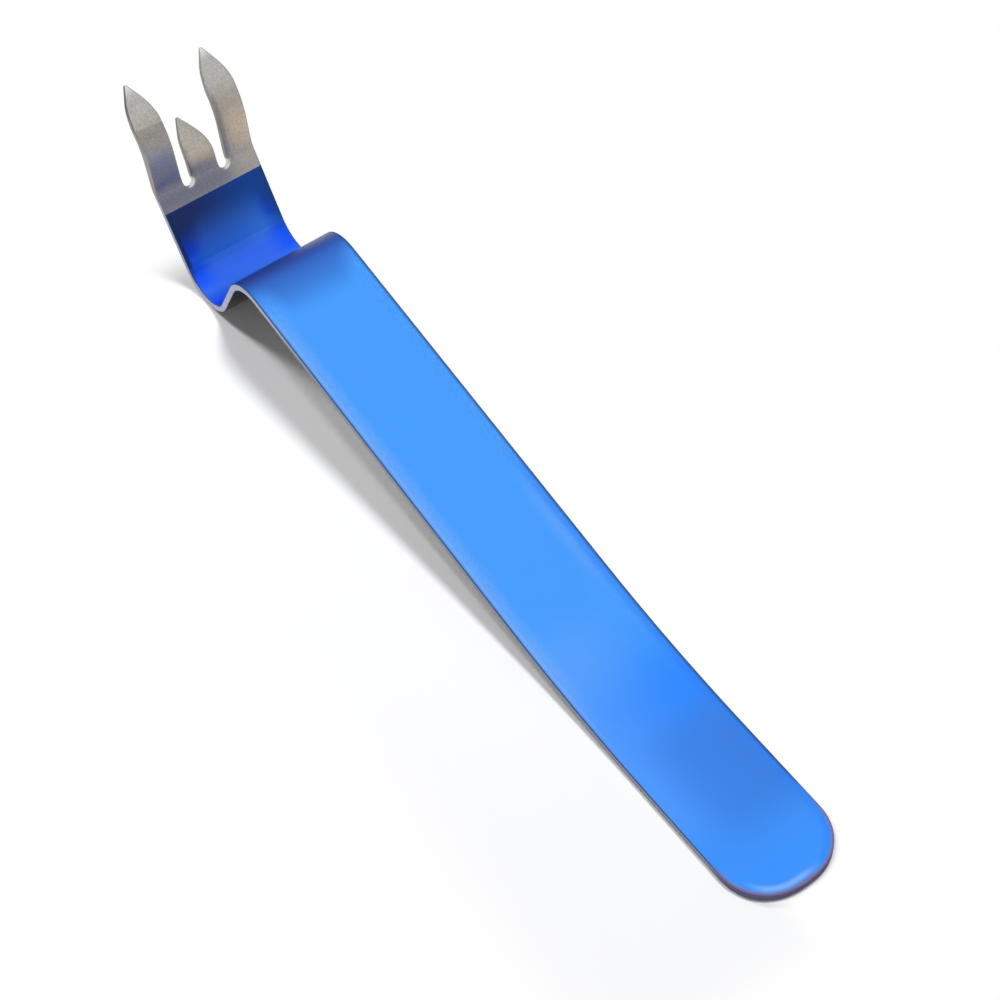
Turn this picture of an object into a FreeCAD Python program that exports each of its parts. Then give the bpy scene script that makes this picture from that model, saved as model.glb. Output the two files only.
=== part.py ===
import FreeCAD, Part
import math
import os
from FreeCAD import Vector

# One-piece handheld retractor: a bent strip of sheet steel with three prongs.
# Lengths are in millimetres and angles in degrees.
# +X runs from the handle's end to the prongs, +Y is to the left, +Z is up.

# Sheet
strip_width = 16.0
sheet_thickness = 1.1
edge_rounding = 0.2

# Handle: the flat pad on the table, the gentle lift and the straight ramp
end_crown_radius = 11.5
end_corner_radius = 6.9
pad_length = 22.05
lift_radius = 160.0
lift_angle = 10.2
ramp_length = 57.0

# Ridge, step down and valley, all radii on the upper face
ridge_radius = 6.25
step_angle = 64.7
valley_radius = 5.0

# Blade, and the slots that part the prongs, measured from the valley's end
blade_angle = 55.6
slot_foot = 10.45
slot_width = 1.53

# Prongs: a bend back at the root, a bend forward and a flat spear tip
root_bend_radius = 3.2
root_bend_angle = 23.5
outer_shank_length = 4.0
outer_tip_bend_radius = 10.4
outer_tip_bend_angle = 45.0
outer_flat_length = 3.55
middle_tip_bend_radius = 3.9
middle_tip_bend_angle = 60.5
middle_flat_length = 3.8
outer_splay = 0.9

# Spear outline, seen square to a flat tip, and the grind under it
spear_shoulder_angle = 4.0
spear_flank_radius = 11.1
spear_half_angle = 25.5
spear_tip_radius = 0.25
tip_thickness = 0.35
grind_length = 3.4

# Derived sizes
half_width = strip_width / 2
prong_width = (strip_width - 2 * slot_width) / 3
outer_prong_centre = prong_width + slot_width
blade_length = slot_foot + slot_width / 2
beyond = 2 * (pad_length + ramp_length)

# Two faces that meet at more than this angle make a rim
rim_angle = 60


def sine(angle):
    return math.sin(math.radians(angle))


def cosine(angle):
    return math.cos(math.radians(angle))


def tangent(angle):
    return math.tan(math.radians(angle))


def side_point(x, z):
    return Vector(x, 0, z)


class SheetPath:
    """Walks along the upper face of the sheet and draws both of its faces in side view."""

    def __init__(self, x, z, slope):
        self.x = x
        self.z = z
        self.slope = slope
        self.upper = []
        self.lower = []

    def place(self):
        """The upper point, and the lower one straight through the sheet."""
        upper = side_point(self.x, self.z)
        return upper, upper - self.up() * sheet_thickness

    def along(self):
        return side_point(cosine(self.slope), sine(self.slope))

    def up(self):
        return side_point(-sine(self.slope), cosine(self.slope))

    def straight(self, length):
        first = self.place()
        self.x += length * cosine(self.slope)
        self.z += length * sine(self.slope)
        last = self.place()
        self.upper.append(Part.LineSegment(first[0], last[0]).toShape())
        self.lower.append(Part.LineSegment(first[1], last[1]).toShape())

    def bend(self, radius, angle):
        """An arc of the given upper-face radius; a positive angle turns the sheet upwards."""
        side = math.copysign(1, angle)
        first = self.place()
        centre = first[0] + self.up() * (side * radius)
        before = self.slope
        self.slope = before + angle / 2
        middle = self.point_at(centre, side * radius)
        self.slope = before + angle
        last = self.point_at(centre, side * radius)
        self.x = last[0].x
        self.z = last[0].z
        self.upper.append(Part.Arc(first[0], middle[0], last[0]).toShape())
        self.lower.append(Part.Arc(first[1], middle[1], last[1]).toShape())

    def point_at(self, centre, reach):
        upper = centre - self.up() * reach
        return upper, upper - self.up() * sheet_thickness

    def plate(self, low_y, high_y):
        """The sheet between two planes across the strip."""
        starts = [edges[0].firstVertex(True).Point for edges in (self.upper, self.lower)]
        stops = [edges[-1].lastVertex(True).Point for edges in (self.upper, self.lower)]
        ends = [Part.LineSegment(*starts).toShape(), Part.LineSegment(*stops).toShape()]
        outline = Part.Wire(Part.__sortEdges__(self.upper + self.lower + ends))
        outline.translate(Vector(0, low_y, 0))
        return Part.Face(outline).extrude(Vector(0, high_y - low_y, 0))


def step_length():
    """The step reaches down until the valley rests at the same level as the pad."""
    rise = lift_radius * (1 - cosine(lift_angle)) + ramp_length * sine(lift_angle)
    rise += ridge_radius * (1 - cosine(lift_angle))
    fall = (ridge_radius + valley_radius) * (1 - cosine(step_angle))
    return (rise - fall) / sine(step_angle)


def handle_path():
    """From the handle's end over the ridge and up the blade to the roots of the prongs."""
    path = SheetPath(0, sheet_thickness, 0)
    path.straight(pad_length)
    path.bend(lift_radius, lift_angle)
    path.straight(ramp_length)
    path.bend(ridge_radius, -lift_angle - step_angle)
    path.straight(step_length())
    path.bend(valley_radius, step_angle + blade_angle)
    path.straight(blade_length)
    return path


def outer_path(root):
    """An outer prong as far as its flat tip: set more upright than the blade, then bent forward."""
    path = SheetPath(root.x, root.z, root.slope)
    path.bend(root_bend_radius, root_bend_angle)
    path.straight(outer_shank_length)
    path.bend(outer_tip_bend_radius, -outer_tip_bend_angle)
    return path


def middle_path(root):
    path = SheetPath(root.x, root.z, root.slope)
    path.bend(root_bend_radius, root_bend_angle)
    path.bend(middle_tip_bend_radius, -middle_tip_bend_angle)
    return path


def sheet_frame(path):
    """Origin on the upper face where the path ends, x onwards along the sheet, z out of it."""
    return FreeCAD.Placement(side_point(path.x, path.z), FreeCAD.Rotation(Vector(0, 1, 0), -path.slope))


def line(first, last):
    return Part.LineSegment(Vector(*first), Vector(*last)).toShape()


def arc(first, middle, last):
    return Part.Arc(Vector(*first), Vector(*middle), Vector(*last)).toShape()


def mirrored(edges):
    return [edge.mirror(Vector(0, 0, 0), Vector(0, 1, 0)) for edge in edges]


def closed_face(edges):
    return Part.Face(Part.Wire(Part.__sortEdges__(edges)))


def through_sheet(face, frame):
    """A prism square to the sheet, long enough to pass right through it."""
    face.translate(Vector(0, 0, -beyond))
    prism = face.extrude(Vector(0, 0, 2 * beyond))
    prism.Placement = frame
    return prism


def handle_outline():
    """The strip in plan: a shallow crown between two corner arcs, then parallel sides."""
    radius = end_corner_radius
    inner = end_crown_radius - radius
    corner_y = half_width - radius
    spread = math.degrees(math.asin(corner_y / inner))
    corner_x = end_crown_radius - inner * cosine(spread)
    meet = (corner_x - radius * cosine(spread), corner_y + radius * sine(spread))
    turn = (90 + spread) / 2
    bulge = (corner_x - radius * cosine(turn), corner_y + radius * sine(turn))
    side = [arc(meet, bulge, (corner_x, half_width)), line((corner_x, half_width), (beyond, half_width))]
    crown = arc(meet, (0, 0), (meet[0], -meet[1]))
    open_end = line((beyond, half_width), (beyond, -half_width))
    return closed_face(side + mirrored(side) + [crown, open_end])


def slot_foot_outline(centre_y):
    """The round foot of a slot, ending at the frame's origin where the prongs begin."""
    radius = slot_width / 2
    foot = arc((0, centre_y - radius), (-radius, centre_y), (0, centre_y + radius))
    return closed_face([foot, line((0, centre_y - radius), (0, centre_y + radius))])


def shank_outline(centre_y, lean):
    """A prong's sides seen square to the blade, from the root outwards."""
    shift = beyond * tangent(lean)
    low = centre_y - prong_width / 2
    high = centre_y + prong_width / 2
    sides = [line((0, low), (beyond, low + shift)), line((0, high), (beyond, high + shift))]
    return closed_face(sides + [line((0, low), (0, high)), line((beyond, low + shift), (beyond, high + shift))])


def spear_outline():
    """Rounded point, tapers and curved flanks, which leave the prong's sides at the shoulders."""
    radius = spear_flank_radius
    turn = spear_half_angle
    nose = (spear_tip_radius * (sine(turn) - 1), spear_tip_radius * cosine(turn))
    centre_y = prong_width / 2 - radius * cosine(spear_shoulder_angle)
    taper_y = centre_y + radius * cosine(turn)
    taper = (nose[0] - (taper_y - nose[1]) / tangent(turn), taper_y)
    crest = (taper[0] - radius * sine(turn), centre_y + radius)
    bulge = (crest[0] + radius * sine(turn / 2), centre_y + radius * cosine(turn / 2))
    back = (crest[0] - beyond, crest[1] + beyond * tangent(spear_shoulder_angle))
    flank = [line(nose, taper), arc(taper, bulge, crest), line(crest, back)]
    point = arc(nose, (0, 0), (nose[0], -nose[1]))
    return closed_face(flank + mirrored(flank) + [point, line(back, (back[0], -back[1]))])


def grind_wedge(frame):
    """What is ground off under a tip, so that the sheet thins evenly towards the point."""
    start = Vector(-grind_length, -beyond, -sheet_thickness)
    end = Vector(grind_length, -beyond, sheet_thickness - 2 * tip_thickness)
    below = Vector(grind_length, -beyond, -beyond)
    wedge = Part.Face(Part.makePolygon([start, end, below, start])).extrude(Vector(0, 2 * beyond, 0))
    wedge.Placement = frame
    return wedge


def tip_frame(root, path, flat_length, centre_y, lean):
    """The sheet's frame at a point, moved and turned across the sheet by the prong's lean."""
    frame = sheet_frame(path).multiply(FreeCAD.Placement(Vector(flat_length, 0, 0), FreeCAD.Rotation()))
    reach = (frame.Base - side_point(root.x, root.z)).dot(root.along())
    across = Vector(0, centre_y + reach * tangent(lean), 0)
    return frame.multiply(FreeCAD.Placement(across, FreeCAD.Rotation(Vector(0, 0, 1), lean)))


def prong(root, path, flat_length, side):
    """A prong before grinding, and the frame at its point."""
    centre_y = side * outer_prong_centre
    lean = side * outer_splay
    frame = tip_frame(root, path, flat_length, centre_y, lean)
    path.straight(flat_length + prong_width)
    blank = path.plate(centre_y - prong_width, centre_y + prong_width)
    blank = blank.common(through_sheet(shank_outline(centre_y, lean), sheet_frame(root)))
    return blank.common(through_sheet(spear_outline(), frame)), frame


def slotted_handle(path):
    """Pad, ramp, ridge, valley and blade, with the round feet of the two slots."""
    strip = path.plate(-strip_width, strip_width)
    strip = strip.common(through_sheet(handle_outline(), FreeCAD.Placement()))
    offset = (prong_width + slot_width) / 2
    feet = [through_sheet(slot_foot_outline(side * offset), sheet_frame(path)) for side in (-1, 1)]
    return strip.cut(feet)


def face_normal(face, point):
    return face.normalAt(*face.Surface.parameter(point))


def is_sharp(edge, shape):
    """True where two faces meet about square, as along the rims of the blanked sheet."""
    point = edge.valueAt((edge.FirstParameter + edge.LastParameter) / 2)
    faces = shape.ancestorsOfType(edge, Part.Face)
    if len(faces) != 2:
        return False
    normals = [face_normal(face, point) for face in faces]
    return abs(normals[0].dot(normals[1])) < cosine(rim_angle)


def rounded(shape):
    """The tumbled edges all round both faces."""
    rims = [edge for edge in shape.Edges if is_sharp(edge, shape)]
    return shape.makeFillet(edge_rounding, rims)


def retractor():
    """Blanked and bent in one piece, tumbled, then ground thin under the three points."""
    root = handle_path()
    prongs = [prong(root, outer_path(root), outer_flat_length, side) for side in (-1, 1)]
    prongs.append(prong(root, middle_path(root), middle_flat_length, 0))
    sheet = slotted_handle(root).fuse([blank for blank, _ in prongs]).removeSplitter()
    return rounded(sheet.Solids[0]).cut([grind_wedge(frame) for _, frame in prongs])


def placed(shape):
    """Origin at the middle of the footprint, on the surface that the part rests on."""
    box = shape.optimalBoundingBox(False, False)
    shape.translate(Vector(-box.Center.x, 0, 0))
    return shape


os.makedirs("parts", exist_ok=True)
placed(retractor()).exportStep("parts/retractor.step")
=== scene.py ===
import bpy
import math
from mathutils import Matrix, Vector

# Handheld retractor on a white table: one bent strip of satin steel with a blue coat on top.
# The solid comes from model.glb; this script gives it its finish, and adds table, light and camera.
# Lengths are in metres unless a name ends in _mm, and angles are in degrees.

# Camera, at the photograph's viewing angle: where it looks, from how far and from which side
look_at = Vector((-0.00162, -0.00456, 0.0))
camera_distance = 0.35853
camera_azimuth = 234.03
camera_elevation = 53.84
camera_roll = -0.61
lens_mm = 97.11
sensor_mm = 36.0

# Light
lamp_distance = 0.9
right_lamp_azimuth = 20.7
right_lamp_elevation = 74.2
right_lamp_diameter = 0.20
right_lamp_share = 0.50
left_lamp_azimuth = 118.8
left_lamp_elevation = 71.1
left_lamp_diameter = 0.11
left_lamp_share = 0.14
low_lamp_azimuth = 107.0
low_lamp_elevation = 35.0
low_lamp_diameter = 0.15
low_lamp_share = 0.20
room_share = 0.245
room_overhead = 1.29
room_low = 0.44
table_size = 6.0
table_gap = 0.00004

# Places on the strip, in the frame's own millimetres
blade_slope = 55.6
coat_end_mm = 42.1
pad_x_mm = -55.0
end_corner_x_mm = -62.95
end_corner_y_mm = 1.1
end_corner_radius_mm = 6.9
slot_foot_up_blade_mm = 44.92
slot_foot_y_mm = 2.92
slot_radius_mm = 0.765

# Where the coat changes along the handle, from the first value to the second, and up the blade
over_end_mm = (-60.0, -64.0)
pad_to_end_mm = (-52.0, -61.0)
ramp_to_pad_mm = (-26.0, -40.0)
shade_from_end_mm = (-65.0, -56.0)
shade_from_lift_mm = (-39.5, -47.0)
clouds_begin_mm = (-34.0, -24.0)
speckle_begins_mm = (-45.0, -20.0)
bright_edge_mm = (22.0, 36.0)
crest_mm = (30.5, 36.8)
ridge_mm = (35.5, 41.2)
sheen_mm = (38.8, 41.6)
step_mm = (46.4, 48.2)
valley_end_mm = (53.3, 55.3)
navy_mm = (33.2, 41.0)
navy_left_mm = (33.9, 39.6)

# Where the pad lifts into the ramp, and where the painted shade under the ridge lies: the middle and
# how far to each side
lift_mm = (-29.0, 9.0)
under_ridge_mm = (42.0, 7.0)

# Where the table keeps its shadow: each edge from the first value, which is burnt out
shadow_near_mm = (2.0, 6.0)
shadow_round_outline_mm = (-0.9, 0.1)
shadow_past_foot_mm = (62.0, 55.0)
shadow_past_end_mm = (-80.0, -71.0)
shadow_far_mm = (40.0, 25.0)

# Places up the prongs, from the first value to the second
prongs_begin_mm = (43.5, 45.0)
middle_tip_mm = (48.5, 50.5)
tip_edges_mm = (50.6, 52.2)
# Where the painted highlight at the outer points begins
points_mm = (59.2, 61.0)
outer_tips_further_mm = 5.5
left_facet_up_blade_mm = 54.9
left_facet_y_mm = 5.5

# Places up the prongs: the middle and how far to each side
roots_mm = (43.5, 4.0)
bends_mm = (49.5, 14.0)
right_bend_mm = (49.3, 6.6)
left_bend_mm = (50.0, 4.5)
middle_bend_mm = (47.2, 1.8)

# Places across the prongs: where the outer two begin, and the creases of painted shade along two left
# sides
outer_prongs_mm = (3.0, 3.6)
right_crease_mm = (-4.15, 0.5)
middle_crease_mm = (1.72, 0.45)

# Colours of the table: as it lights the metal, and as the camera sees it
table_in_metal = (0.82, 0.82, 0.82, 1)
table_seen = (0.975, 0.98, 1.0, 1)

# Colours of the coat, in linear light
coat_azure = (0.065, 0.350, 1.0, 1)
coat_pad = (0.032, 0.262, 1.0, 1)
coat_pad_left = (0.082, 0.330, 1.0, 1)
coat_pad_end = (0.050, 0.305, 1.0, 1)
# Painted shade: the darker patch on the pad
coat_shade = (0.050, 0.222, 0.75, 1)
# Painted shade inside the right side, from the end to the middle of the ramp
coat_right_shade = (0.030, 0.225, 0.93, 1)
# Painted highlights inside the sides and round the end, and also the pale half of the handle's speckle
coat_pale = (0.21, 0.46, 1.0, 1)
# Painted highlight: the pale line inside the handle's left side
coat_pale_edge_highlight = (0.24, 0.44, 0.84, 1)
# Painted dark reflection on the last half millimetre of the handle's sides
coat_dark_edge_reflection = (0.026, 0.085, 0.28, 1)
# This and the next: deeper blue towards the ridge, partly the coat's own and partly painted reflection;
# this one is also the dark half of the handle's speckle
coat_crest = (0.042, 0.185, 0.66, 1)
coat_deep = (0.018, 0.066, 0.42, 1)
# The valley's and the blade's blues, down to the navy: partly the coat's own colour and partly painted
# reflection; the valley's highlight colour is painted light
coat_valley = (0.036, 0.150, 0.88, 1)
coat_blade = (0.062, 0.27, 0.98, 1)
coat_royal = (0.009, 0.105, 0.97, 1)
coat_valley_highlight = (0.050, 0.190, 1.0, 1)
coat_navy = (0.022, 0.042, 0.165, 1)
coat_navy_right = (0.012, 0.074, 0.37, 1)
# Painted shade on the rounded rims of the coated face
coat_rim = (0.045, 0.095, 0.230, 1)
# Painted reflection: the grey sheen past the ridge on the right
coat_sheen = (0.13, 0.19, 0.43, 1)
# Painted dark reflection on the rim round the handle's end
coat_end_rim = (0.20, 0.185, 0.36, 1)
# The lilac of the faint clouds, and also a painted reflection where the pad lifts into the ramp
coat_lilac = (0.14, 0.38, 0.99, 1)
coat_line = (0.016, 0.040, 0.12, 1)

# Colours of the steel
steel_grey = (0.49, 0.48, 0.46, 1)
steel_olive = (0.52, 0.48, 0.35, 1)
steel_rose = (0.58, 0.47, 0.41, 1)
steel_blue = (0.38, 0.42, 0.50, 1)
# The painted shade at the prongs' root, and also the dark half of the steel's speckle
steel_dim = (0.21, 0.215, 0.30, 1)
# Painted light with a warm tint: lighter steel at the right and middle bends
steel_lit_warm = (0.74, 0.61, 0.46, 1)
# Painted shade below the left prong's bend and on the middle tip
steel_bronze = (0.37, 0.33, 0.26, 1)
# Painted shade in the creases along two left sides
steel_shade_in_crease = (0.19, 0.19, 0.21, 1)
# This and the next: painted shade on the steel underneath, darkest under the ridge
steel_shade_under_ridge = (0.080, 0.075, 0.080, 1)
steel_shaded_underside = (0.40, 0.39, 0.36, 1)
# The light half of the steel's speckle, and also painted light on the left shank, at the outer points
# and at the slot feet
steel_bright = (0.86, 0.85, 0.83, 1)
# This and the next: painted shade on the rims of the prongs and the shanks
prong_rim = (0.20, 0.205, 0.20, 1)
shank_rim = (0.30, 0.29, 0.25, 1)
prong_side = (0.36, 0.36, 0.32, 1)
# This and the next: painted shade on the handle's lower rims
handle_rim = (0.075, 0.072, 0.075, 1)
handle_rim_at_pad = (0.17, 0.16, 0.165, 1)
blanked_edge = (0.34, 0.36, 0.44, 1)
# Painted reflection: the blanked edges lighter and bluer at the ridge and the valley
blanked_edge_lit = (0.49, 0.51, 0.68, 1)


class Level:
    """A number that varies over a surface. Arithmetic on it adds Math nodes."""

    def __init__(self, shader, socket):
        self.shader = shader
        self.socket = socket

    def math(self, operation, *others):
        values = dict(enumerate([self, *others]))
        node = self.shader.node("ShaderNodeMath", values, operation=operation)
        return Level(self.shader, node.outputs[0])

    def __add__(self, other):
        return self.math("ADD", other)

    __radd__ = __add__

    def __mul__(self, other):
        return self.math("MULTIPLY", other)

    __rmul__ = __mul__

    def __sub__(self, other):
        return self.math("SUBTRACT", other)

    def __rsub__(self, other):
        return self * -1 + other

    def __truediv__(self, other):
        return self.math("DIVIDE", other)

    def __pow__(self, other):
        return self.math("POWER", other)

    def __abs__(self):
        return self.math("ABSOLUTE")

    def rise(self, start, stop):
        """0 up to start, 1 from stop on, and a smooth rise between them, whichever is greater."""
        values = {"Value": self, "From Min": start, "From Max": stop}
        node = self.shader.node("ShaderNodeMapRange", values, interpolation_type="SMOOTHSTEP")
        return Level(self.shader, node.outputs["Result"])

    def band(self, middle, reach):
        """1 at the middle, falling smoothly to 0 at the reach on both sides."""
        return 1 - abs(self - middle).rise(0, reach)


class Shader:
    """A node tree that is built by values."""

    def __init__(self, tree):
        self.tree = tree
        tree.nodes.clear()

    def node(self, kind, values=(), **settings):
        node = self.tree.nodes.new(kind)
        for name, setting in settings.items():
            setattr(node, name, setting)
        for name, value in dict(values).items():
            if isinstance(value, Level):
                value = value.socket
            if isinstance(value, bpy.types.NodeSocket):
                self.tree.links.new(value, node.inputs[name])
            else:
                node.inputs[name].default_value = value
        return node

    def axes(self, vector):
        node = self.node("ShaderNodeSeparateXYZ", {"Vector": vector})
        return [Level(self, socket) for socket in node.outputs]

    def vector(self, x, y, z):
        return self.node("ShaderNodeCombineXYZ", {"X": x, "Y": y, "Z": z}).outputs[0]

    def noise(self, vector, scale, detail=2.0, roughness=0.5):
        values = {"Vector": vector, "Scale": scale, "Detail": detail, "Roughness": roughness}
        return Level(self, self.node("ShaderNodeTexNoise", values).outputs[0])

    def dull(self, colour):
        """A surface without any gloss."""
        values = {"Base Color": colour, "Roughness": 1.0, "Specular IOR Level": 0.0}
        return self.node("ShaderNodeBsdfPrincipled", values).outputs[0]

    def mixed(self, share, first, second):
        """The first colour where share is 0, the second where it is 1."""
        values = {0: share, 6: first, 7: second}
        return self.node("ShaderNodeMix", values, data_type="RGBA").outputs[2]


def place_in_millimetres(shader):
    place = shader.node("ShaderNodeTexCoord").outputs["Object"]
    values = {0: place, "Scale": 1000.0}
    return shader.node("ShaderNodeVectorMath", values, operation="SCALE").outputs[0]


def facing_out(shader, x):
    """How squarely a face looks out of the sheet: 1 on the upper face, 0 on an edge, -1 underneath."""
    normal = shader.node("ShaderNodeTexCoord").outputs["Normal"]
    _, normal_y, normal_z = shader.axes(normal)
    across_strip = (1 - normal_y * normal_y).math("MAXIMUM", 0.0) ** 0.5
    outwards = across_strip * normal_z.math("SIGN")
    on_pad = x.rise(pad_x_mm + 0.5, pad_x_mm - 0.5)
    return outwards + on_pad * (normal_z - outwards)


def facing_left(shader):
    """1 on what looks towards +Y, the left side in the main view."""
    _, normal_y, _ = shader.axes(shader.node("ShaderNodeTexCoord").outputs["Normal"])
    return normal_y.rise(0.05, 0.25)


def inset_from_outline(x, y):
    """How far in a place lies from the strip's round end and its two long sides, in millimetres."""
    past_corner = (end_corner_x_mm - x).math("MAXIMUM", 0.0)
    past_side = (abs(y) - end_corner_y_mm).math("MAXIMUM", 0.0)
    return end_corner_radius_mm - (past_corner * past_corner + past_side * past_side) ** 0.5


def coat_colour(shader, place, x, y, up_blade):
    """The handle's coat up to the step, and the blade's from there."""
    inset = inset_from_outline(x, y)
    handle = handle_coat(shader, place, x, y, inset)
    handle = ridge_coat(shader, x, y, inset, handle)
    handle = side_lines(shader, x, y, inset, handle)
    return shader.mixed(x.rise(*step_mm), handle, blade_coat(shader, x, y, inset, up_blade))


def handle_coat(shader, place, x, y, inset):
    """Azure ramp and a deeper pad, lighter on its left, with faint clouds and speckle; painted on them
    are a darker patch of shade on the pad, a lilac reflection where the pad lifts, pale highlights
    inside the ramp's sides and round the end, and a shade inside the right side.
    """
    left = y.rise(2.0, 4.0)
    right = y.rise(-2.0, -4.0)
    pad = shader.mixed(y.rise(-6.0, 9.0), coat_pad, coat_pad_left)
    pad = shader.mixed(x.rise(*pad_to_end_mm), pad, coat_pad_end)
    colour = shader.mixed(x.rise(*ramp_to_pad_mm), coat_azure, pad)
    # Painted shade: a darker patch on the pad, strongest towards its right side
    to_right = y.rise(8.0, -1.0) * 0.74 + y.rise(-1.0, -7.0) * 0.13
    shade = x.rise(*shade_from_end_mm) * x.rise(*shade_from_lift_mm) * to_right
    colour = shader.mixed(shade, colour, coat_shade)
    # Painted reflection: a paler lilac band on the left side, where the pad lifts into the ramp
    colour = shader.mixed(x.band(*lift_mm) * y.rise(-6.0, 5.0) * 0.45, colour, coat_lilac)
    cloud = shader.noise(place, 0.22, 3.0)
    clouded = cloud.rise(0.50, 0.66) * x.rise(*clouds_begin_mm)
    colour = shader.mixed(clouded * 0.10, colour, coat_lilac)
    speckle = shader.noise(place, 3.0, 2.0)
    speckled = inset.rise(3.0, 0.9) * x.rise(*speckle_begins_mm)
    colour = shader.mixed(speckle.rise(0.50, 0.70) * speckled * 0.22, colour, coat_pale)
    colour = shader.mixed(speckle.rise(0.50, 0.32) * speckled * 0.22, colour, coat_crest)
    # Painted highlights: pale bands inside the ramp's left and right sides, and round the end where the
    # rounded rim catches the light
    highlight_inside_left = inset.band(0.9, 1.9) * left * x.rise(-42.0, -24.0) * x.rise(37.0, 27.0) * 0.37
    highlight_inside_right = inset.band(2.0, 1.7) * right * x.band(-12.5, 13.0) * 0.25
    highlight_round_end = inset.band(0.95, 0.65) * x.rise(-63.0, -65.5) * y.rise(-3.0, 0.5) * y.rise(6.8, 4.4)
    colour = shader.mixed(highlight_inside_left + highlight_inside_right + highlight_round_end, colour, coat_pale)
    # Painted shade: bluer and darker just inside the right side, from the end to the middle of the ramp
    return shader.mixed(inset.rise(1.8, 0.8) * right * x.rise(4.0, -8.0) * 0.5, colour, coat_right_shade)


def ridge_coat(shader, x, y, inset, colour):
    """The coat deepens up to the ridge, later near the sides, partly its own colour and partly painted
    reflection, and has a painted grey sheen on the right.
    """
    near_sides = (inset - y * 0.05).rise(4.2, 0.4)
    colour = shader.mixed((x - near_sides * 3.0).rise(*crest_mm), colour, coat_crest)
    colour = shader.mixed((x - near_sides * 0.4).rise(*ridge_mm), colour, coat_deep)
    # Painted reflection: a grey sheen past the ridge on its right side
    return shader.mixed(x.rise(*sheen_mm) * y.rise(-0.5, -5.0), colour, coat_sheen)


def blade_coat(shader, x, y, inset, up_blade):
    """Royal blue in the valley and navy at the coat's end, partly the coat's own colour and partly
    painted reflection, with painted highlights in the valley and a dark line along the sides.
    """
    low = shader.mixed(x.rise(*valley_end_mm), coat_valley, coat_blade)
    low = shader.mixed(inset.rise(4.2, 1.0), low, coat_royal)
    # Painted reflections: a lighter band across the valley's bottom, a highlight at its left side, and
    # a lighter line where the valley meets the blade
    low = shader.mixed(x.band(49.6, 2.6) * 0.45, low, coat_azure)
    low = shader.mixed(x.band(50.8, 2.4) * y.rise(3.0, 6.5) * 0.85, low, coat_valley_highlight)
    low = shader.mixed(x.band(55.2, 0.9) * 0.4, low, coat_azure)
    # Partly painted reflection: the navy, bluer on the right side
    high = shader.mixed(y.rise(5.5, -6.0), coat_navy, coat_navy_right)
    height = up_blade + y.rise(-5.0, -7.6) * 3.0
    navy = height.rise(*navy_mm)
    navy = navy + y.rise(3.5, 6.0) * (up_blade.rise(*navy_left_mm) - navy)
    colour = shader.mixed(navy, low, high)
    line = inset.rise(0.95, 0.35) * up_blade.rise(31.5, 34.5) * (0.2 + y.rise(-1.0, 1.0) * 0.65)
    return shader.mixed(line, colour, coat_line)


def side_lines(shader, x, y, inset, colour):
    """A pale line inside the handle's left side, a painted highlight, and the darker last half
    millimetre of both, a painted dark reflection of the rounded rims.
    """
    left = y.rise(-1.0, 1.0)
    # Painted highlight: a pale line about half a millimetre inside the left side
    pale_edge_highlight = inset.band(0.55, 0.35) * left * x.rise(-48.0, -30.0) * x.rise(36.5, 29.0)
    colour = shader.mixed(pale_edge_highlight * 0.5, colour, coat_pale_edge_highlight)
    # Painted dark reflection: the rounded rim's last half millimetre darker, less so on the left
    reach = 0.70 - left * 0.32
    softer = left * (0.45 + x.rise(-25.0, -50.0) * 0.35)
    dark = ((reach - inset) / (reach - 0.06)).rise(0.0, 1.0) * (1 - softer)
    return shader.mixed(dark * x.rise(-60.5, -56.0), colour, coat_dark_edge_reflection)


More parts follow.
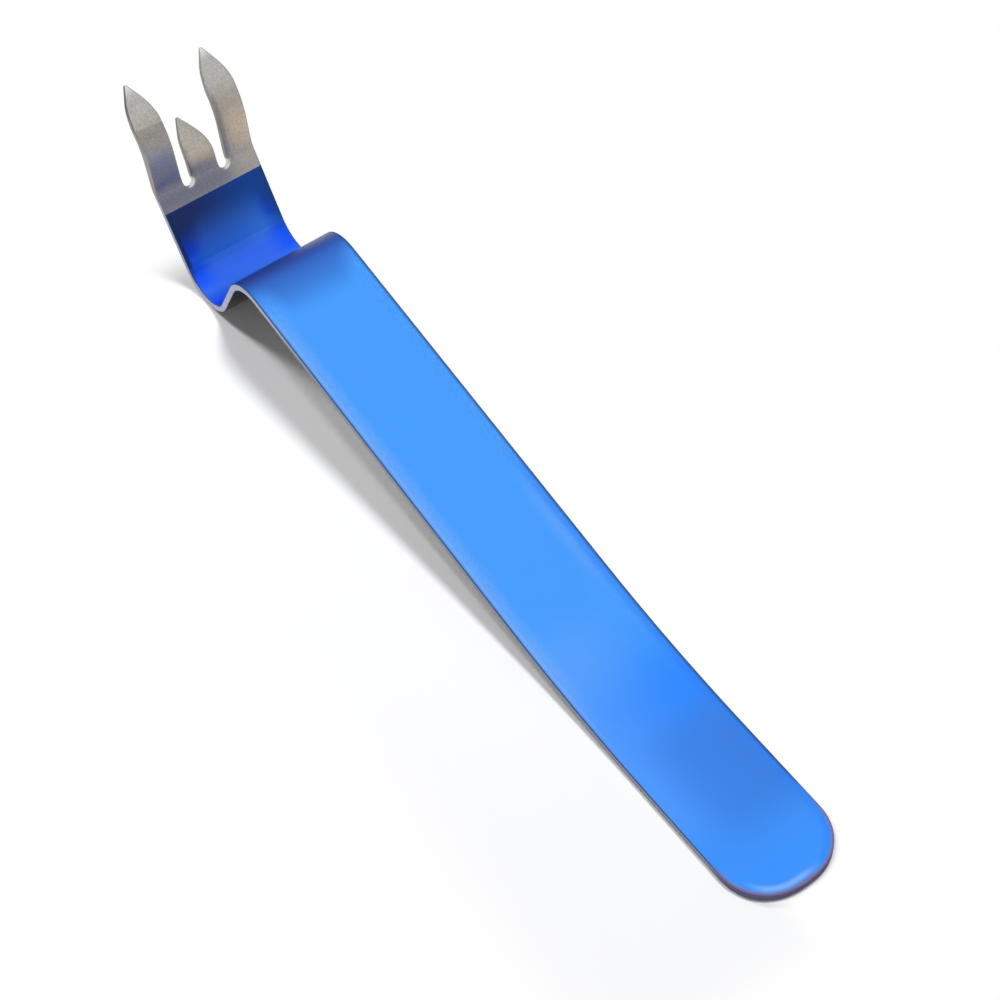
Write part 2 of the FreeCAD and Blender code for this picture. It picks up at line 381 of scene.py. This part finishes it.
def steel_colour(shader, place, x, y, up_blade, outwards):
    """Satin grey with the faint tints of heat at the bends and speckle, and painted light: shade at the
    prongs' root, below the left prong's bend and on the middle tip, lighter warm steel at the right
    bend, a lighter left shank, highlights at the outer points, and shade underneath, deepest under the
    ridge.
    """
    cloud = shader.noise(place, 0.55, 3.0)
    second_cloud = shader.noise(place, 0.8, 3.0)
    speckle = shader.noise(place, 3.2, 2.0, 0.6)
    bends = up_blade.band(*bends_mm)
    colour = shader.mixed(cloud.rise(0.48, 0.66) * bends * 0.7, steel_grey, steel_olive)
    colour = shader.mixed(second_cloud.rise(0.50, 0.68) * bends * 0.7, colour, steel_rose)
    colour = shader.mixed(cloud.rise(0.50, 0.32) * bends * 0.6, colour, steel_blue)
    root = up_blade.band(*roots_mm)
    # Painted shade: the prongs' root darker, except on the right
    colour = shader.mixed(root * y.rise(-6.0, -1.5) * 0.8, colour, steel_dim)
    # Painted light: lighter warm steel at the right prong's bend
    colour = shader.mixed(y.rise(-4.0, -6.0) * up_blade.band(*right_bend_mm), colour, steel_lit_warm)
    # Painted shade: the left prong darker just below where its bend ends, with a faint line there, and
    # the middle tip a little darker
    past_facet = up_blade - (y - left_facet_y_mm) * 0.10 - left_facet_up_blade_mm
    bend_shade = past_facet.rise(0.12, -0.12) * up_blade.rise(51.6, 54.0) * 0.5
    bend_shade = bend_shade + past_facet.band(-0.25, 0.4) * y.rise(7.0, 4.0) * 0.35
    colour = shader.mixed(bend_shade * y.rise(2.8, 3.4), colour, steel_bronze)
    colour = shader.mixed(abs(y).rise(2.6, 2.2) * up_blade.rise(47.6, 49.0) * 0.3, colour, steel_bronze)
    colour = shader.mixed(speckle.rise(0.50, 0.68) * (0.20 - root * 0.12), colour, steel_bright)
    colour = shader.mixed(speckle.rise(0.50, 0.32) * 0.26, colour, steel_dim)
    # Painted light: the left shank lighter at its bend
    left_shank = up_blade.band(*left_bend_mm) * y.rise(2.8, 4.0)
    colour = shader.mixed(left_shank * 0.22, colour, steel_bright)
    # Painted highlight at the outer prongs' points
    tip_highlight = up_blade.rise(*points_mm) * abs(y).rise(*outer_prongs_mm)
    colour = shader.mixed(tip_highlight * 0.8, colour, steel_bright)
    # Painted shade: the steel darker underneath, darkest under the ridge
    underside = outwards.rise(-0.2, -0.6)
    colour = shader.mixed(underside * 0.8, colour, steel_shaded_underside)
    return shader.mixed(underside * x.band(*under_ridge_mm), colour, steel_shade_under_ridge)


def prong_details(shader, y, up_blade, outwards, colour):
    """Duller sides, a painted shade in the crease inside the left sides, painted light on the middle
    prong's bend, and a painted highlight at the foot of each slot.
    """
    before_tip = 1 - up_prong(y, up_blade).rise(*middle_tip_mm)
    # Painted shade: a dark crease inside the left sides of the right and middle prongs
    crease = (y.band(*right_crease_mm) + y.band(*middle_crease_mm)) * before_tip
    colour = shader.mixed(crease * up_blade.rise(44.5, 46.5) * 0.45, colour, steel_shade_in_crease)
    # Painted light: lighter warm steel at the middle prong's bend
    middle_bend = abs(y).rise(2.4, 1.6) * up_blade.band(*middle_bend_mm)
    colour = shader.mixed(middle_bend * 0.7, colour, steel_lit_warm)
    sides = abs(outwards).rise(0.70, 0.35) * up_blade.rise(*prongs_begin_mm)
    colour = shader.mixed(sides, colour, prong_side)
    # Painted highlight at the lit lower right of each slot's foot
    return shader.mixed(slot_foot_glint(y, up_blade) * outwards.rise(-0.2, 0.0), colour, steel_bright)


def slot_foot_glint(y, up_blade):
    """1 on the lit lower right of each slot's round foot, where its painted highlight goes."""
    side = y - y.math("SIGN") * slot_foot_y_mm
    past_foot = up_blade - slot_foot_up_blade_mm
    from_foot = (side * side + past_foot * past_foot) ** 0.5 - slot_radius_mm
    return from_foot.band(0.05, 0.40) * past_foot.rise(0.45, 0.0) * side.rise(0.45, -0.25)


def up_prong(y, up_blade):
    """The place up a prong, with the outer two's moved down to where the middle one has its tip."""
    return up_blade - abs(y).rise(*outer_prongs_mm) * outer_tips_further_mm


def strip_edges(shader, x, up_blade, outwards, colour):
    """The blanked edges of the handle: dull along the ramp, and lighter and bluer at the ridge and the
    valley, a painted reflection.
    """
    edge_colour = shader.mixed(x.rise(*bright_edge_mm), blanked_edge, blanked_edge_lit)
    before_prongs = 1 - up_blade.rise(*prongs_begin_mm)
    return shader.mixed(abs(outwards).rise(0.85, 0.45) * before_prongs, colour, edge_colour)


def dark_rims(shader, x, y, up_blade, outwards):
    """Where the tumbled rims and the spear tips' edges are dark and dull, a painted shade that is
    lighter on some sides facing left, and their colour.
    """
    facing = abs(outwards)
    turned = facing.rise(0.985, 0.92)
    to_tip = up_prong(y, up_blade)
    at_tip = to_tip.rise(*middle_tip_mm)
    share = turned * facing.rise(0.30, 0.55).math("MAXIMUM", to_tip.rise(*tip_edges_mm))
    right_prong = y.rise(-2.5, -3.5)
    left_shank = (1 - at_tip) * y.rise(2.8, 4.8)
    lit_side = facing_left(shader) * up_blade.rise(44.0, 45.0) * right_prong.math("MAXIMUM", left_shank)
    share = share * (1 - slot_foot_glint(y, up_blade)) * (1 - lit_side * 0.75)
    at_end = x.rise(*over_end_mm)
    end_rim = at_end * inset_from_outline(x, y).rise(0.55, 0.25) * outwards.rise(-0.6, -0.3)
    lower_rim = shader.mixed(x.rise(-30.0, -55.0), handle_rim, handle_rim_at_pad)
    colour = shader.mixed(outwards.rise(0.0, 0.3), lower_rim, coat_rim)
    rim_of_prong = shader.mixed(at_tip, shank_rim, prong_rim)
    colour = shader.mixed(up_blade.rise(coat_end_mm - 0.1, coat_end_mm + 0.1), colour, rim_of_prong)
    colour = shader.mixed(at_end, colour, coat_end_rim)
    return share.math("MAXIMUM", end_rim), colour


def finish_of_retractor():
    """Blue coat on the upper face up to a straight line on the blade, bare satin steel elsewhere."""
    material = bpy.data.materials.new("coated_steel_strip")
    material.use_nodes = True
    shader = Shader(material.node_tree)
    place = place_in_millimetres(shader)
    x, y, z = shader.axes(place)
    outwards = facing_out(shader, x)
    up_blade = x * math.cos(math.radians(blade_slope)) + z * math.sin(math.radians(blade_slope))

    fine = shader.noise(place, 3.0, 3.0)
    before_end = (up_blade + fine * 0.12).rise(coat_end_mm + 0.11, coat_end_mm + 0.01)
    over_end = x.rise(*over_end_mm)
    coated = before_end * (outwards + fine * 0.2 + over_end * 0.6).rise(0.45, 0.60)

    coat = coat_colour(shader, place, x, y, up_blade)
    steel = steel_colour(shader, place, x, y, up_blade, outwards)
    steel = strip_edges(shader, x, up_blade, outwards, steel)
    steel = prong_details(shader, y, up_blade, outwards, steel)
    colour = shader.mixed(coated, steel, coat)
    grain = shader.noise(shader.vector(x * 0.5, y * 6.0, z * 0.5), 2.0, 3.0)
    satin = shader.noise(place, 9.0, 2.0)
    smudges = shader.noise(place, 0.12, 3.0, 0.6)
    roughness = 0.42 + grain * 0.06 + smudges * 0.08 - coated * 0.05
    relief = grain * (1 - coated) + satin * coated
    bump_values = {"Height": relief, "Strength": 0.10, "Distance": 0.00002}
    bump = shader.node("ShaderNodeBump", bump_values).outputs[0]
    metallic = 0.95 - coated * 0.1
    values = {"Base Color": colour, "Metallic": metallic, "Roughness": roughness, "Normal": bump}
    sheet = shader.node("ShaderNodeBsdfPrincipled", values).outputs[0]
    rim_share, rim_colour = dark_rims(shader, x, y, up_blade, outwards)
    rim = shader.dull(rim_colour)
    surface = shader.node("ShaderNodeMixShader", {0: rim_share, 1: sheet, 2: rim}).outputs[0]
    shader.node("ShaderNodeOutputMaterial", {"Surface": surface})
    return material


def table_finish():
    """White, and burnt out round the prongs, so that only the handle and the foot keep a shadow."""
    material = bpy.data.materials.new("white_table")
    material.use_nodes = True
    shader = Shader(material.node_tree)
    x, y, _ = shader.axes(place_in_millimetres(shader))
    seen = Level(shader, shader.node("ShaderNodeLightPath").outputs["Is Camera Ray"])
    colour = shader.mixed(seen, table_in_metal, table_seen)
    lit = shader.dull(colour)
    white = shader.node("ShaderNodeEmission", {"Strength": 1.0}).outputs[0]
    round_outline = inset_from_outline(x, y).rise(*shadow_round_outline_mm)
    kept = y.rise(*shadow_near_mm).math("MAXIMUM", round_outline)
    kept = kept * x.rise(*shadow_past_foot_mm) * x.rise(*shadow_past_end_mm) * y.rise(*shadow_far_mm)
    burnt_out = (1 - kept) * seen
    surface = shader.node("ShaderNodeMixShader", {0: burnt_out, 1: lit, 2: white}).outputs[0]
    shader.node("ShaderNodeOutputMaterial", {"Surface": surface})
    return material


def table():
    bpy.ops.mesh.primitive_plane_add(size=table_size, location=(0, 0, -table_gap))
    top = bpy.context.object
    top.name = "table"
    top.data.materials.append(table_finish())


def direction(azimuth, elevation):
    """From the object towards a place; azimuth 0 is -Y and 90 is +X."""
    turn = math.radians(azimuth)
    rise = math.radians(elevation)
    level = math.cos(rise)
    return Vector((math.sin(turn) * level, -math.cos(turn) * level, math.sin(rise)))


def lamp(name, azimuth, elevation, diameter, share):
    """A round lamp that gives its share of the light on the table and doesn't mirror in the metal."""
    towards = direction(azimuth, elevation)
    light = bpy.data.lights.new(name, "AREA")
    light.shape = "DISK"
    light.size = diameter
    light.energy = share * math.pi ** 2 * lamp_distance ** 2 / towards.z
    holder = bpy.data.objects.new(name, light)
    holder.location = towards * lamp_distance
    holder.rotation_euler = towards.to_track_quat("Z", "Y").to_euler()
    holder.visible_glossy = False
    bpy.context.collection.objects.link(holder)


def room():
    """The white room: what the metal mirrors, lighter overhead, and its even share of the light."""
    world = bpy.data.worlds.new("room")
    bpy.context.scene.world = world
    world.use_nodes = True
    shader = Shader(world.node_tree)
    towards = shader.node("ShaderNodeTexCoord").outputs["Generated"]
    _, _, height = shader.axes(towards)
    mirrored = room_low + height.rise(0.10, 0.60) * (room_overhead - room_low)
    path = shader.node("ShaderNodeLightPath")
    in_metal = Level(shader, path.outputs["Is Glossy Ray"])
    in_metal = in_metal.math("MAXIMUM", path.outputs["Is Transmission Ray"])
    strength = room_share + in_metal * (mirrored - room_share)
    strength = strength + Level(shader, path.outputs["Is Camera Ray"]) * (1 - strength)
    background = shader.node("ShaderNodeBackground", {"Strength": strength})
    shader.node("ShaderNodeOutputWorld", {"Surface": background.outputs[0]})


def camera():
    towards = direction(camera_azimuth, camera_elevation)
    eye = bpy.data.cameras.new("camera")
    eye.sensor_width = sensor_mm
    eye.lens = lens_mm
    holder = bpy.data.objects.new("camera", eye)
    holder.rotation_mode = "QUATERNION"
    roll = Matrix.Rotation(math.radians(camera_roll), 4, "Z").to_quaternion()
    holder.rotation_quaternion = towards.to_track_quat("Z", "Y") @ roll
    holder.location = look_at + towards * camera_distance
    bpy.context.collection.objects.link(holder)
    bpy.context.scene.camera = holder


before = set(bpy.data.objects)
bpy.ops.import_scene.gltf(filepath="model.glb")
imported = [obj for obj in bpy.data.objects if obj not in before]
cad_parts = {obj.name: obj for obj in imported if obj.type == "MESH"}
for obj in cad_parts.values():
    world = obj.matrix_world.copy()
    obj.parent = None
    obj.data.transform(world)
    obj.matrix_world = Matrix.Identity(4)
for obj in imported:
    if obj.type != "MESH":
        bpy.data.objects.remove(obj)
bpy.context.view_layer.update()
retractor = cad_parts["retractor"]
retractor.material_slots[0].material = finish_of_retractor()
table()
lamp("right_lamp", right_lamp_azimuth, right_lamp_elevation, right_lamp_diameter, right_lamp_share)
lamp("left_lamp", left_lamp_azimuth, left_lamp_elevation, left_lamp_diameter, left_lamp_share)
lamp("low_lamp", low_lamp_azimuth, low_lamp_elevation, low_lamp_diameter, low_lamp_share)
room()
camera()
bpy.context.scene.view_settings.view_transform = "Standard"
